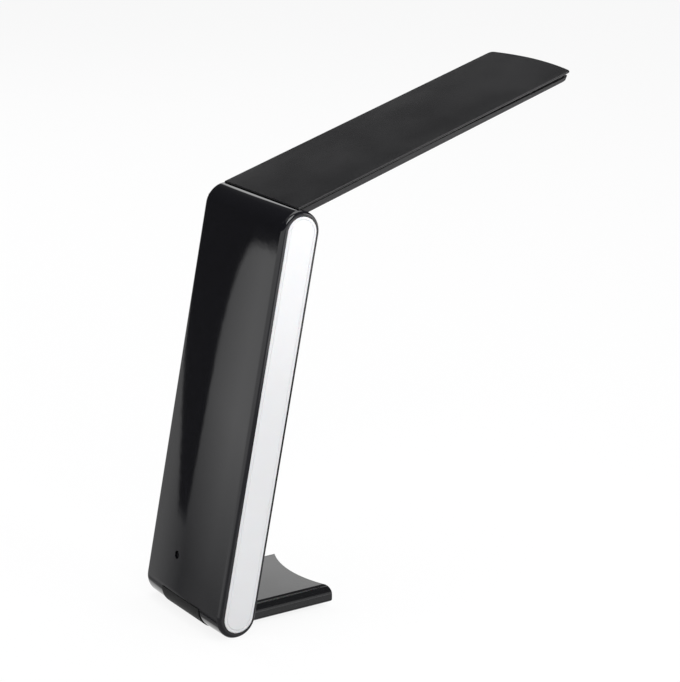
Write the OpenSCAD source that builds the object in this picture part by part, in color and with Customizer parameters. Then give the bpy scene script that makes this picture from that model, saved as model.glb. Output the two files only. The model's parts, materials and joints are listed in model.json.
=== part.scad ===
// Folding desk lamp: a leaning flat post, a slim light head that folds down into
// its front, and a short weighted foot that folds up under the head.
// X is forward, Y is across, Z is up; the desk is z = 0.

/* [Post] */
// Thickness of the post, and twice the radius of its round ends
post_thick = 24; // [24:0.5:28]
// Width of the post across both sides
post_width = 81; // [79:1:100]
// Distance between the centres of the two round ends
axis_span = 212; // [206:1:260]
// Forward lean of the post in degrees
post_lean = 11.3; // [8:0.1:14]
// Wall of the rear shell
shell_wall = 1.8; // [1.4:0.1:2.0]
// Thickness of each side cheek
cheek_wall = 1.9; // [1.8:0.1:2.4]
// Rounding of the post's outer edges
post_edge = 1; // [0.4:0.1:1.2]
// Overhang of the shell over the top, measured back from the top axis
wrap_back = 2.1; // [1:0.1:4]
// Forward end of the shell under the foot
wrap_front = 3.8; // [2:0.1:4]

/* [Side inlays] */
// Width of the white strip in each side
inlay_width = 18; // [14:0.5:19]
// Shift of the strip towards the front edge
inlay_shift = 1.7; // [0:0.1:2]
// Thickness of the strip
inlay_thick = 1.1; // [0.8:0.1:1.2]

/* [Recess panel] */
// Thickness of the front panel
panel_wall = 1.6; // [1.2:0.1:2]
// Thickness of the foot bay's floor
bay_wall = 1.2; // [1:0.1:1.6]
// Top of the foot bay above the bottom axis
bay_top = 70; // [68:1:76]
// Top end of the panel below the top axis
panel_end = 8; // [7.8:0.1:12]

/* [Head] */
// Pitch of the open head above the horizontal
head_pitch = 17; // [0:1:30]
// Reach of the head's tip from its hinge axis
head_reach = 195; // [170:1:196]
// Thickness of the head slab
head_thick = 4.9; // [4.8:0.1:5]
// Thickness of the head's top cover
cover_thick = 1.4; // [1.2:0.1:1.5]
// Start of the head cover from the hinge axis
cover_start = 4.4; // [3:0.1:6]
// Amount that each side of the head draws in towards its tip
head_taper = 1.2; // [0:0.1:3]
// Height of the arc at the head's tip
tip_bow = 3.3; // [1:0.1:6]
// Radius of the head's hinge barrel
barrel_r = 6.8; // [5:0.1:6.8]
// Width of each head hinge ear inside its cheek
ear_width = 7.1; // [5:0.1:10]
// Length of the light window
window_length = 158; // [120:1:160]
// Margin between the light window and the head's sides at the tip
window_margin = 8.1; // [6:0.1:14]
// Thickness of the diffuser
diffuser_thick = 1; // [0.8:0.1:1]
// Thickness of the printed boards
board_thick = 1; // [0.8:0.1:1]
// Number of light chips in each row
chip_count = 12; // [6:1:14]

/* [Foot] */
// Height of the foot's top above the desk
foot_top = 12; // [11:0.1:12]
// Height of the foot's underside above the desk
foot_under = 2.4; // [2.2:0.1:3]
// Height of the foot's hinge axis above the desk
foot_axis = 6.7; // [6.5:0.1:7]
// Gap between each cheek's inner face and the foot, which a hinge ear fills
foot_side = 7.6; // [6:0.1:12]
// Reach of the middle of the foot's tip from the post's foot
foot_reach = 60; // [50:0.5:60]
// Radius of the hollow arc in the foot's tip
foot_arc = 68; // [60:1:120]
// Rounding of the foot's long top edges
foot_edge = 3.6; // [2:0.1:4]
// Wall of the foot shell
foot_wall = 1.8; // [1.4:0.1:2]
// Thickness of the cover under the foot
foot_cover = 1.3; // [1:0.1:1.6]

/* [Hinges] */
// Radius of the head's hinge pins
head_pin_r = 2.5; // [2:0.1:3]
// Length of each head hinge pin
head_pin_length = 18; // [14:1:24]
// Radius of the foot's hinge rod
foot_rod_r = 2; // [1.5:0.1:2.2]
// Thickness of the friction washers
washer_thick = 0.5; // [0.3:0.1:0.8]

/* [Power] */
// Diameter of one battery cell
cell_d = 14.2; // [14:0.1:14.4]
// Length of one battery cell with its button
cell_length = 50.5; // [50:0.1:51]
// Distance between neighbouring cells
cell_pitch = 15; // [14.8:0.1:15]
// Gap between the main board and the battery bay
battery_gap = 6; // [3:0.5:9]
// Diameter of the power switch's button
button_d = 12; // [8:0.5:16]
// Height of the button above the bottom axis
button_height = 97; // [92:1:102]
// Travel of the button
button_travel = 0.8; // [0.4:0.1:1]
// Diameter of the power socket's hole in the shell
inlet_d = 4.4; // [4:0.1:6]
// Diameter of the bore that takes the power plug
plug_bore_d = 3.6; // [3:0.1:4]
// Height of the power socket above the bottom axis
inlet_height = 19.3; // [16:0.1:20]
// Offset of the power socket from the middle
inlet_offset = 10.1; // [8:0.1:12]

/* [Hidden] */
$fn = 96;

// Clearances
part_gap = 0.1;      // between fixed pieces that meet
slide_gap = 0.3;     // between moving pieces
bearing_gap = 0.04;  // radial, round pins and rods
over = 1;            // how far a cutting tool runs past its work

// Post
round_r = post_thick / 2;
inner_r = round_r - shell_wall;
half_width = post_width / 2;
cheek_in = half_width - cheek_wall;
inlay_r = inlay_width / 2;
panel_half = cheek_in - part_gap;

// Foot: its axis lies on the post's middle plane
axis_drop = (round_r - foot_axis) / cos(post_lean);
foot_x = -axis_drop * sin(post_lean);
foot_up = foot_top - foot_axis;       // foot's top above its axis
foot_down = foot_axis - foot_under;   // foot's underside below its axis
foot_half = cheek_in - foot_side;
foot_tip = foot_reach - foot_x;       // reach from the foot's axis
lug_r = foot_down;
ballast_low = -foot_down + foot_cover + part_gap;
ballast_high = foot_up - foot_wall - part_gap;

// Head: k is the height above the hinge axis, square to the head
head_low = round_r - head_thick;
cover_low = round_r - cover_thick;
head_half = cheek_in - slide_gap;
head_tip_half = head_half - head_taper;
tip_radius = (head_tip_half * head_tip_half + tip_bow * tip_bow) / (2 * tip_bow);
tray_start = cover_start + 0.6;
tray_inset = 0.8;
tray_tip_inset = 2;
tray_floor = diffuser_thick + 0.2;
tray_wall = 1.6;
window_start = 20;
window_ledge = 2;
chip_size = [3.5, 2.8, 0.8];
board_low = cover_low - 0.4 - board_thick;
board_margin = 3;
ear_start = cheek_in - ear_width;
barrel_half = ear_start - washer_thick;
window_half = head_tip_half - window_margin;

// Panel: v is the height in front of the post's middle plane
panel_face = head_low - 0.5;
panel_back = panel_face - panel_wall;
bay_face = -(foot_up + 0.4);
bay_back = bay_face - bay_wall;
bay_low = -axis_drop - 2.3;
panel_top = axis_span - panel_end;
step_wall = 2;
rail_low = 2;

// Board, switch and socket
board_v = -3;
board_size = [50, 34];
board_hole_r = 1.6;
board_hole_y = board_size[0] / 2 - 4;
button_flange = 1.5;
button_proud = 0.3;
switch_size = 6.2;
switch_height = 3.5;
plunger_height = panel_back - button_flange - button_travel - 2 * part_gap
                 - board_v - board_thick - switch_height;
coil_size = [3.2, 8, 8];
driver_size = [1.6, 6, 5];
plug_size = [2.5, 9, 6];
capacitor = [6, 5];        // diameter, height
coil_place = [10, -12];
driver_place = [-18, -12];
plug_place = [14, 8];
capacitor_place = [-16, 8];
plunger_d = 3.4;
jack_size = [11.4, 10.4];  // width across the post, height along it
jack_depth = 10.2;
jack_floor = 2.2;          // solid end behind the plug's bore
jack_gap = 0.2;
foot_relief = 1.2;         // room between the socket and the foot's notch
relief_half = jack_size[0] / 2 + foot_relief;
relief_up = inlet_height + jack_size[1] / 2 + 2 * foot_relief;

// Battery bay, above the board
battery_low = button_height + board_size[1] / 2 + battery_gap;
cell_count = 4;
contact_thick = 0.5;
contact_width = 8;         // single plate; a pair's plate adds one pitch
contact_inset = 1.5;       // from a cell's back and front to a plate's edges
spring_length = 3.5;
tray_skin = 0.6;
bay_half = (cell_count - 1) / 2 * cell_pitch + cell_d / 2 + 0.6;
bay_length = cell_length + spring_length + 2 * contact_thick + 0.3;
tray_back = -inner_r;
cell_v = tray_back + tray_skin + cell_d / 2 + part_gap;
door_lip = 1.5;
nub_r = 2.6;
nub_length = 1.2;
spring_r = 4;
spring_wire = 0.6;
spring_turns = 3;

// Screws
screw_r = 1.2;
screw_head_r = 2.6;
screw_head = 1;
boss_r = 3;
head_boss_r = 2.2;
foot_boss_r = 2.4;
boss_gap = 0.2;
side_land = 1.2;           // from a post screw's boss to the panel's side
post_screw_ends = [9, 7];  // from the panel's lower and upper ends
head_screw_ends = [10, 14];  // from the light window's ends
foot_screw_ends = [6, 10];   // from the foot's hinge wall and its tip
screw_seat = 0.1;          // a foot screw's head below the cover's underside
foot_screw_head = 0.6;
foot_screw_bite = 1.1;     // end of a foot screw above the foot's axis
foot_screw_room = 0.9;     // bore left free past a foot screw's end
post_screw_y = panel_half - boss_r - side_land;
post_screw_u = [bay_top + post_screw_ends[0], panel_top - post_screw_ends[1]];
post_screw_length = 9;
head_screw_y = window_half + window_ledge + 3;
foot_screw_y = foot_half - foot_edge - screw_head_r - 0.5;
foot_screw_x = [lug_r + foot_wall + foot_screw_ends[0], foot_tip - foot_screw_ends[1]];

// Rubber
pad_proud = 0.3;
pad_depth = 1;
pad_half = 20;
pad_top = 0.4;      // height above the desk at which the strip ends
pad_front = 1.4;    // the strip's front edge
foot_pad_r = 5;
foot_pad_inset = 13;   // from the foot's side to a pad's middle
foot_pad_back = 10;    // from the foot's tip to a pad's middle
foot_pad_y = foot_half - foot_pad_inset;
foot_pad_x = foot_tip - foot_pad_back;

// ---------- frames ----------
// Post frame: x is v (forward), y across, z is u (up along the post)
module in_post() translate([0, 0, round_r]) rotate([0, post_lean, 0]) children();
// Head frame: x along the head, z square to it, origin on the hinge axis
module in_head() in_post() translate([0, 0, axis_span])
  rotate([0, -head_pitch - post_lean, 0]) children();
// Foot frame: x along the foot, origin on the hinge axis
module in_foot() translate([foot_x, 0, foot_axis]) children();
module both_sides() for (side = [0, 1]) mirror([0, side, 0]) children();

// ---------- shared shapes ----------
module rod_y(r, from, to) translate([0, from, 0]) rotate([-90, 0, 0]) cylinder(r = r, h = to - from);
// Rounded half section of the post: out is the distance from the round end's centre
module half_section(r, half, edge) {
  square([r, half - edge]);
  square([r - edge, half]);
  translate([r - edge, half - edge]) circle(edge);
}
// Solid stadium with rounded outer edges
module post_blank(r, half, edge) {
  linear_extrude(axis_span) for (a = [0, 1], b = [0, 1])
    mirror([a, 0]) mirror([0, b]) half_section(r, half, edge);
  for (u = [0, axis_span]) translate([0, 0, u]) rotate([90, 0, 0]) rotate_extrude()
    for (b = [0, 1]) mirror([0, b]) half_section(r, half, edge);
}
// Flat stadium plate between two places across the post
module stadium_plate(r, shift, from, to) {
  translate([shift - r, from, 0]) cube([2 * r, to - from, axis_span]);
  for (u = [0, axis_span]) translate([shift, 0, u]) rod_y(r, from, to);
}
module slab(v0, v1, half, u0, u1) translate([v0, -half, u0]) cube([v1 - v0, 2 * half, u1 - u0]);
module screw_v(length) rotate([0, 90, 0]) {
  translate([0, 0, -screw_head]) cylinder(r = screw_head_r, h = screw_head);
  translate([0, 0, -length]) cylinder(r = screw_r, h = length - screw_head);
}
// Outline of the head, drawn in by inset along each side and at the tip
module head_outline(start, side_inset, tip_side_inset, tip_inset) {
  intersection() {
    polygon([[start, -head_half + side_inset], [head_reach, -head_tip_half + tip_side_inset],
             [head_reach, head_tip_half - tip_side_inset], [start, head_half - side_inset]]);
    translate([head_reach - tip_inset - tip_radius, 0]) circle(tip_radius, $fn = 240);
  }
}
module head_plate(low, high, start, side_inset = 0, tip_side_inset = 0, tip_inset = 0)
  translate([0, 0, low]) linear_extrude(high - low)
    head_outline(start, side_inset, tip_side_inset, tip_inset);
// Foot outline seen from above, from its hinge axis to its hollow tip
module foot_outline(half, tip) difference() {
  translate([0, -half]) square([tip + foot_arc, 2 * half]);
  translate([tip + foot_arc, 0]) circle(foot_arc, $fn = 240);
  translate([tip + foot_arc / 2, -half - over]) square([foot_arc, 2 * half + 2 * over]);
}
module foot_plate(low, high, half, tip) translate([0, 0, low]) linear_extrude(high - low)
  foot_outline(half, tip);

// ---------- post ----------
module wrap_cut() {
  slab(-wrap_back, round_r + over, cheek_in, axis_span / 2, axis_span + round_r + over);
  slab(wrap_front, round_r + over, cheek_in, -round_r - over, axis_span / 2 + over);
}
module ear_block(u0, u1, v_front, ear_in) both_sides() intersection() {
  post_blank(inner_r + 0.2, cheek_in + 0.2, post_edge);
  translate([-round_r, ear_in, u0]) cube([round_r + v_front, half_width, u1 - u0]);
}
module bottom_pad_ring(r0, r1) translate([0, 0, round_r]) difference() {
  rod_y(r1, -pad_half, pad_half);
  rod_y(r0, -pad_half - over, pad_half + over);
  translate([-2 * round_r, -pad_half - over, pad_top]) cube([4 * round_r, 2 * pad_half + 2 * over, 2 * round_r]);
  translate([pad_front, -pad_half - over, -2 * round_r]) cube([round_r * 2, 2 * pad_half + 2 * over, 4 * round_r]);
}
module shell_bosses() for (y = [-1, 1], u = post_screw_u)
  translate([-inner_r - 0.4, y * post_screw_y, u]) rotate([0, 90, 0])
    cylinder(r = boss_r, h = inner_r + 0.4 + panel_back);
module boss_bores() for (y = [-1, 1], u = post_screw_u)
  translate([panel_back - post_screw_length, y * post_screw_y, u]) rotate([0, 90, 0])
    cylinder(r = screw_r + part_gap / 2, h = post_screw_length + over);

module rear_shell() color("#1b1b1f") {
  difference() {
    in_post() difference() {
      union() {
        difference() {
          post_blank(round_r, half_width, post_edge);
          stadium_plate(inner_r, 0, -cheek_in, cheek_in);
          wrap_cut();
          slab(0, round_r + over, cheek_in, 0, axis_span);
        }
        // Hinge ears for the head, then for the foot
        both_sides() translate([0, 0, axis_span]) rod_y(barrel_r, ear_start, cheek_in + 0.2);
        ear_block(axis_span - barrel_r, axis_span + round_r, -wrap_back, ear_start);
        ear_block(-round_r, 0, wrap_front, foot_half + slide_gap + washer_thick);
        shell_bosses();
      }
      both_sides() stadium_plate(inlay_r, inlay_shift, half_width - inlay_thick, half_width + over);
      translate([0, 0, axis_span]) rod_y(head_pin_r + bearing_gap / 2, -half_width, half_width);
      translate([0, 0, -axis_drop]) rod_y(foot_rod_r + bearing_gap / 2, -half_width, half_width);
      boss_bores();
      translate([-round_r - over, inlet_offset, inlet_height]) rotate([0, 90, 0])
        cylinder(d = inlet_d, h = shell_wall + 2 * over);
    }
    bottom_pad_ring(round_r - pad_depth, round_r + over);
  }
}

module side_inlay() in_post()
  stadium_plate(inlay_r - part_gap / 2, inlay_shift, half_width - inlay_thick, half_width);
module side_inlay_near() color("#f4f5f7") mirror([0, 1, 0]) side_inlay();
module side_inlay_far() color("#f4f5f7") side_inlay();

module door_opening(grow, v0, v1)
  slab(v0, v1, bay_half + grow, battery_low - grow, battery_low + bay_length + grow);

module board_pillars(r, v_end) for (y = [-1, 1]) translate([v_end, y * board_hole_y, button_height])
  rotate([0, 90, 0]) cylinder(r = r, h = panel_back + part_gap - v_end);

module recess_panel() color("#202024") in_post() difference() {
  union() {
    slab(panel_back, panel_face, panel_half, bay_top, panel_top);
    slab(bay_back, panel_face, panel_half, bay_top, bay_top + step_wall);
    slab(bay_back, bay_face, panel_half, rail_low, bay_top + step_wall);
    slab(bay_back, bay_face, foot_half + slide_gap, bay_low, bay_top);
    slab(-inner_r + part_gap, panel_face, ear_start - 1, panel_top - panel_wall, panel_top);
    board_pillars(3, board_v + board_thick);
    board_pillars(board_hole_r - part_gap, board_v - 0.4);
    // Side rails that stiffen the foot bay
    both_sides() translate([bay_back, foot_half + slide_gap, rail_low])
      cube([panel_face - bay_back, panel_half - foot_half - slide_gap, bay_top + step_wall - rail_low]);
  }
  door_opening(-door_lip, panel_back - over, panel_face + over);
  door_opening(0, panel_face - panel_wall / 2, panel_face + over);
  // Notch round the power socket, open at the floor's lower end
  translate([bay_back - over, inlet_offset - jack_size[0] / 2 - jack_gap, bay_low - over])
    cube([bay_wall + 2 * over, jack_size[0] + 2 * jack_gap,
          inlet_height + jack_size[1] / 2 + jack_gap - bay_low + over]);
  translate([panel_back - over, 0, button_height]) rotate([0, 90, 0])
    cylinder(d = button_d + 2 * slide_gap, h = panel_wall + 2 * over);
  for (y = [-1, 1], u = post_screw_u) translate([panel_face, y * post_screw_y, u]) rotate([0, 90, 0]) {
    translate([0, 0, -screw_head - part_gap]) cylinder(r = screw_head_r + part_gap, h = screw_head + over);
    translate([0, 0, -panel_wall - over]) cylinder(r = screw_r + part_gap, h = panel_wall + 2 * over);
  }
}

module battery_tray() color("#2c2c30") in_post() difference() {
  translate([tray_back + part_gap, -bay_half - 1, battery_low - 1])
    cube([panel_back - tray_back - 2 * part_gap, 2 * bay_half + 2, bay_length + 2]);
  translate([tray_back + tray_skin, -bay_half, battery_low])
    cube([round_r * 2, 2 * bay_half, bay_length]);
}
module contact_plate(y, width, u) translate([cell_v - cell_d / 2 + contact_inset, y - width / 2, u])
  cube([cell_d - 2 * contact_inset, width, contact_thick]);
module battery_contacts() color("#c9ccd0") in_post() {
  for (y = [-1, 1]) contact_plate(y * cell_pitch, cell_pitch + contact_width, battery_low + part_gap);
  top = battery_low + bay_length - contact_thick - part_gap;
  contact_plate(0, cell_pitch + contact_width, top);
  for (y = [-1, 1]) contact_plate(y * 1.5 * cell_pitch, contact_width, top);
}
function cell_y(i) = (i - (cell_count - 1) / 2) * cell_pitch;
function cell_low(i) = battery_low + 2 * contact_thick + (i % 2 == 0 ? spring_length - 0.3 : 0);
module battery_springs() color("#d5d8db") in_post() for (i = [0 : cell_count - 1]) {
  start = i % 2 == 0 ? battery_low + contact_thick + part_gap
                     : battery_low + bay_length - contact_thick - part_gap;
  step = (i % 2 == 0 ? 1 : -1) * (spring_length - 2 * spring_wire) / spring_turns;
  for (turn = [0 : spring_turns - 1]) translate([cell_v, cell_y(i), start + step * (turn + 0.5)])
    rotate_extrude() translate([spring_r - turn * spring_wire, 0]) circle(spring_wire / 2, $fn = 16);
}
module battery_cells() color("#4a4e55") in_post() for (i = [0 : cell_count - 1])
  translate([cell_v, cell_y(i), cell_low(i) + (i % 2 == 0 ? 0 : cell_length)])
    mirror([0, 0, i % 2]) {
      cylinder(d = cell_d, h = cell_length - nub_length);
      translate([0, 0, cell_length - nub_length]) cylinder(r = nub_r, h = nub_length);
    }

module main_board() color("#1d5a36") in_post() difference() {
  translate([board_v, -board_size[0] / 2, button_height - board_size[1] / 2])
    cube([board_thick, board_size[0], board_size[1]]);
  for (y = [-1, 1]) translate([board_v - over, y * board_hole_y, button_height]) rotate([0, 90, 0])
    cylinder(r = board_hole_r, h = board_thick + 2 * over);
}
module board_parts() color("#8b8f96") in_post() translate([board_v + board_thick, 0, button_height]) {
  translate([0, coil_place[0], coil_place[1]]) cube(coil_size);
  translate([0, driver_place[0], driver_place[1]]) cube(driver_size);
  translate([0, plug_place[0], plug_place[1]]) cube(plug_size);
  translate([0, capacitor_place[0], capacitor_place[1]]) rotate([0, 90, 0])
    cylinder(d = capacitor[0], h = capacitor[1]);
}
module switch_body() color("#3a3a3e") in_post() translate([board_v + board_thick, 0, button_height]) {
  translate([0, -switch_size / 2, -switch_size / 2]) cube([switch_height, switch_size, switch_size]);
  translate([switch_height, 0, 0]) rotate([0, 90, 0]) cylinder(d = plunger_d, h = plunger_height);
}
// The socket's housing, with a tail that closes the bay floor's notch
module dc_jack() color("#2a2a2e") in_post() difference() {
  union() {
    translate([-inner_r + part_gap / 2, inlet_offset - jack_size[0] / 2, inlet_height - jack_size[1] / 2])
      cube([jack_depth - part_gap / 2, jack_size[0], jack_size[1]]);
    translate([bay_back, inlet_offset - jack_size[0] / 2, bay_low])
      cube([bay_wall, jack_size[0], inlet_height - bay_low]);
  }
  translate([-inner_r - over, inlet_offset, inlet_height]) rotate([0, 90, 0])
    cylinder(d = plug_bore_d, h = jack_depth - jack_floor + over);
}

module head_hinge_pins() color("#b8bcc2") in_post() translate([0, 0, axis_span])
  both_sides() rod_y(head_pin_r, half_width - inlay_thick - head_pin_length,
                     half_width - inlay_thick - part_gap);
module washer_ring(r_in, r_out, from) both_sides() difference() {
  rod_y(r_out, from, from + washer_thick);
  rod_y(r_in, from - over, from + washer_thick + over);
}
module head_friction_washers() color("#9a9da3") in_post() translate([0, 0, axis_span])
  washer_ring(head_pin_r + bearing_gap, barrel_r - 1, barrel_half);
module foot_hinge_rod() color("#b8bcc2") in_foot()
  rod_y(foot_rod_r, -half_width + inlay_thick + part_gap, half_width - inlay_thick - part_gap);
module foot_friction_washers() color("#9a9da3") in_foot()
  washer_ring(foot_rod_r + bearing_gap, lug_r - 0.5, foot_half + slide_gap);
module bottom_pad() color("#161616") intersection() {
  bottom_pad_ring(round_r - pad_depth, round_r + pad_proud);
  translate([-2 * round_r, -half_width, 0]) cube([4 * round_r, post_width, 2 * round_r]);
}
module post_screws() color("#6a6d72") in_post() for (y = [-1, 1], u = post_screw_u)
  translate([panel_face - part_gap, y * post_screw_y, u]) screw_v(post_screw_length);

// ---------- head ----------
module head_cover() color("#222226") in_head()
  head_plate(cover_low, round_r, cover_start);

module head_tray() color("#1c1c20") in_head() difference() {
  union() {
    difference() {
      head_plate(head_low, cover_low, tray_start, tray_inset, tray_tip_inset, tray_tip_inset);
      head_plate(head_low + tray_floor, cover_low + over, window_start - 4,
                 tray_inset + tray_wall, tray_tip_inset + tray_wall, tray_tip_inset + tray_wall);
    }
    rod_y(barrel_r, -barrel_half, barrel_half);
    translate([0, -barrel_half, 0]) cube([barrel_r + 0.2, 2 * barrel_half, head_low + 0.2]);
    for (x = head_screw_x(), y = [-1, 1]) translate([x, y * head_screw_y, head_low])
      cylinder(r = head_boss_r, h = head_thick - cover_thick);
  }
  translate([window_start + window_ledge, -window_half + window_ledge, head_low - over])
    cube([window_length - 2 * window_ledge, 2 * window_half - 2 * window_ledge, head_thick]);
  translate([window_start, -window_half, head_low + tray_floor - diffuser_thick])
    cube([window_length, 2 * window_half, head_thick]);
  both_sides() rod_y(head_pin_r + bearing_gap, half_width - inlay_thick - head_pin_length - over, half_width);
  for (x = head_screw_x(), y = [-1, 1]) translate([x, y * head_screw_y, head_low - over])
    cylinder(r = screw_r + part_gap / 2, h = head_thick);
}
function head_screw_x() = [window_start + head_screw_ends[0], window_start + window_length - head_screw_ends[1]];
module diffuser() color("#f2efe4", 0.8) in_head()
  translate([window_start + part_gap, -window_half + part_gap, head_low + tray_floor - diffuser_thick])
    cube([window_length - 2 * part_gap, 2 * window_half - 2 * part_gap, diffuser_thick]);
module led_board() color("#e8ebee") in_head()
  translate([window_start + board_margin, -window_half + board_margin, board_low])
    cube([window_length - 2 * board_margin, 2 * window_half - 2 * board_margin, board_thick]);
module led_chips() color("#f3d36b") in_head() for (i = [0 : chip_count - 1], row = [-1, 1])
  translate([window_start + (i + 0.5) * window_length / chip_count - chip_size[0] / 2,
             row * window_half / 2 - chip_size[1] / 2, board_low - chip_size[2]]) cube(chip_size);
module head_screws() color("#6a6d72") in_head() for (x = head_screw_x(), y = [-1, 1])
  translate([x, y * head_screw_y, head_low + 0.2]) cylinder(r = screw_r, h = head_thick - cover_thick - 0.3);

// ---------- foot ----------
// Section of the foot with rounded long top edges, from low to high
module foot_section(low, high, half, edge) {
  translate([-half, low]) square([2 * half, high - low - edge]);
  translate([-half + edge, low]) square([2 * half - 2 * edge, high - low]);
  for (y = [-1, 1]) translate([y * (half - edge), high - edge]) circle(edge);
}
module foot_blank() intersection() {
  translate([0, 0, -2 * round_r]) linear_extrude(4 * round_r) foot_outline(foot_half, foot_tip);
  rotate([90, 0, 90]) linear_extrude(foot_tip + foot_arc)
    foot_section(-foot_down, foot_up, foot_half, foot_edge);
}
// Notch that lets the folded foot clear the power socket, grown by a wall
module foot_notch(grow = 0) translate([-round_r, inlet_offset - relief_half - grow, -2 * round_r])
  cube([round_r + axis_drop + relief_up + grow, 2 * relief_half + 2 * grow, 4 * round_r]);
module foot_shell() color("#242428") in_foot() difference() {
  union() {
    difference() {
      foot_blank();
      difference() {
        translate([lug_r + foot_wall, 0, 0]) foot_plate(-foot_down - over, foot_up - foot_wall,
          foot_half - foot_edge, foot_tip - foot_wall - lug_r - foot_wall);
        foot_notch(foot_wall);
      }
    }
    rod_y(lug_r, -foot_half, foot_half);
    for (x = foot_screw_x, y = [-1, 1]) translate([x, y * foot_screw_y, ballast_low])
      cylinder(r = foot_boss_r, h = foot_up - foot_wall - ballast_low + over / 2);
  }
  foot_notch();
  rod_y(foot_rod_r + bearing_gap, -foot_half - over, foot_half + over);
  for (x = foot_screw_x, y = [-1, 1]) translate([x, y * foot_screw_y, -foot_down - over])
    cylinder(r = screw_r + part_gap / 2, h = foot_down + over + foot_screw_bite + foot_screw_room);
}
module foot_filler(low, high, gap) difference() {
  translate([lug_r + foot_wall + gap, 0, 0])
    foot_plate(low, high, foot_half - foot_edge - gap, foot_tip - foot_wall - lug_r - foot_wall - 2 * gap);
  foot_notch(foot_wall + gap);
}
module foot_base_cover() color("#1a1a1d") in_foot() difference() {
  foot_filler(-foot_down, -foot_down + foot_cover, part_gap);
  for (x = foot_screw_x, y = [-1, 1]) translate([x, y * foot_screw_y, -foot_down - over])
    cylinder(r = screw_r + part_gap, h = foot_cover + 2 * over);
  for (x = foot_screw_x, y = [-1, 1]) translate([x, y * foot_screw_y, -foot_down - over])
    cylinder(r = screw_head_r, h = over + foot_screw_head + screw_seat);
}
module foot_ballast() color("#777b80") in_foot() difference() {
  foot_filler(ballast_low, ballast_high, part_gap);
  for (x = foot_screw_x, y = [-1, 1]) translate([x, y * foot_screw_y, ballast_low - over])
    cylinder(r = foot_boss_r + boss_gap, h = ballast_high - ballast_low + 2 * over);
}
module foot_pads() color("#111111") in_foot() for (y = [-1, 1])
  translate([foot_pad_x, y * foot_pad_y, -foot_axis]) cylinder(r = foot_pad_r, h = foot_under);
module foot_screws() color("#6a6d72") in_foot() for (x = foot_screw_x, y = [-1, 1])
  translate([x, y * foot_screw_y, -foot_down + screw_seat]) {
    cylinder(r = screw_head_r - part_gap, h = foot_screw_head);
    translate([0, 0, foot_screw_head]) cylinder(r = screw_r, h = foot_down + foot_screw_bite - foot_screw_head);
  }

// ---------- door and button ----------
module battery_door() color("#242428") in_post()
  door_opening(-part_gap, panel_face - panel_wall / 2 + part_gap / 2, panel_face);
module power_button() color("#2f2f34") in_post() translate([0, 0, button_height]) rotate([0, 90, 0]) {
  translate([0, 0, panel_back - button_flange - part_gap])
    cylinder(d = button_d + 2 * button_flange, h = button_flange - button_travel);
  translate([0, 0, panel_back - button_flange - part_gap])
    cylinder(d = button_d, h = panel_face + button_proud - panel_back + button_flange + part_gap);
}

rear_shell();
recess_panel();
side_inlay_near();
side_inlay_far();
battery_tray();
battery_contacts();
battery_springs();
battery_cells();
main_board();
board_parts();
switch_body();
dc_jack();
head_hinge_pins();
head_friction_washers();
foot_hinge_rod();
foot_friction_washers();
bottom_pad();
post_screws();
head_cover();
head_tray();
led_board();
led_chips();
diffuser();
head_screws();
foot_shell();
foot_base_cover();
foot_ballast();
foot_pads();
foot_screws();
battery_door();
power_button();
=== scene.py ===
"""Folding desk lamp: glossy leaning post, slim light head and short weighted foot."""

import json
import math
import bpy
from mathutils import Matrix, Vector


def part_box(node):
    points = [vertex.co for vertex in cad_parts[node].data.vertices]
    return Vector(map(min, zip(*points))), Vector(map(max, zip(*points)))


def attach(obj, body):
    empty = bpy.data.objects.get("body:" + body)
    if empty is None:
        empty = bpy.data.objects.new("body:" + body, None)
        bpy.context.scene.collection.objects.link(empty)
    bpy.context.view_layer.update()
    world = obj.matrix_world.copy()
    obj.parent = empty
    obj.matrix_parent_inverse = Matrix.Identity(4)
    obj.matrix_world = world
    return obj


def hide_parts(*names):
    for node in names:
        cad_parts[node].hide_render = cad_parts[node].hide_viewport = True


bl_info = {
    "name": "Folding desk lamp",
    "version": (1, 0, 0),
    "blender": (4, 5, 0),
    "location": "View3D > Sidebar > Lamp",
    "description": "Builds the casings, finishes and studio of a folding desk lamp",
    "category": "Object",
}

import bmesh
import bpy
from bpy.props import FloatProperty, FloatVectorProperty, IntProperty, PointerProperty
from mathutils import Vector

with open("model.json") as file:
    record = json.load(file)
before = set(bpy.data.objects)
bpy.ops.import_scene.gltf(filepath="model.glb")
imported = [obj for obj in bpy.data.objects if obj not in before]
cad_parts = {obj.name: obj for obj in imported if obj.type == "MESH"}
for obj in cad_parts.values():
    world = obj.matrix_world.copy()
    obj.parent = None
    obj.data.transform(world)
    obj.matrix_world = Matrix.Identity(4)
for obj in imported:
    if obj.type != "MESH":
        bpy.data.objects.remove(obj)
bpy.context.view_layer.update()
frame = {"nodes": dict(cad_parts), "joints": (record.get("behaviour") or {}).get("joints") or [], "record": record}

MM = 0.001
JOINT = {joint["name"]: joint for joint in frame["joints"]}
HEAD_AXIS = Vector(JOINT["head_hinge"]["pos_m"])
FOOT_AXIS = Vector(JOINT["foot_hinge"]["pos_m"])
HALF_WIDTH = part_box("rear_shell")[1].y
POST_RADIUS = 12 * MM
LEAN = math.atan2(HEAD_AXIS.x, HEAD_AXIS.z - POST_RADIUS)
SPAN = math.hypot(HEAD_AXIS.x, HEAD_AXIS.z - POST_RADIUS)
HEAD_PITCH = math.radians(JOINT["head_hinge"]["range_deg"][1] - 90) - LEAN
CHEEK_IN = HALF_WIDTH - 1.9 * MM
DESK = 0.0


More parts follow.
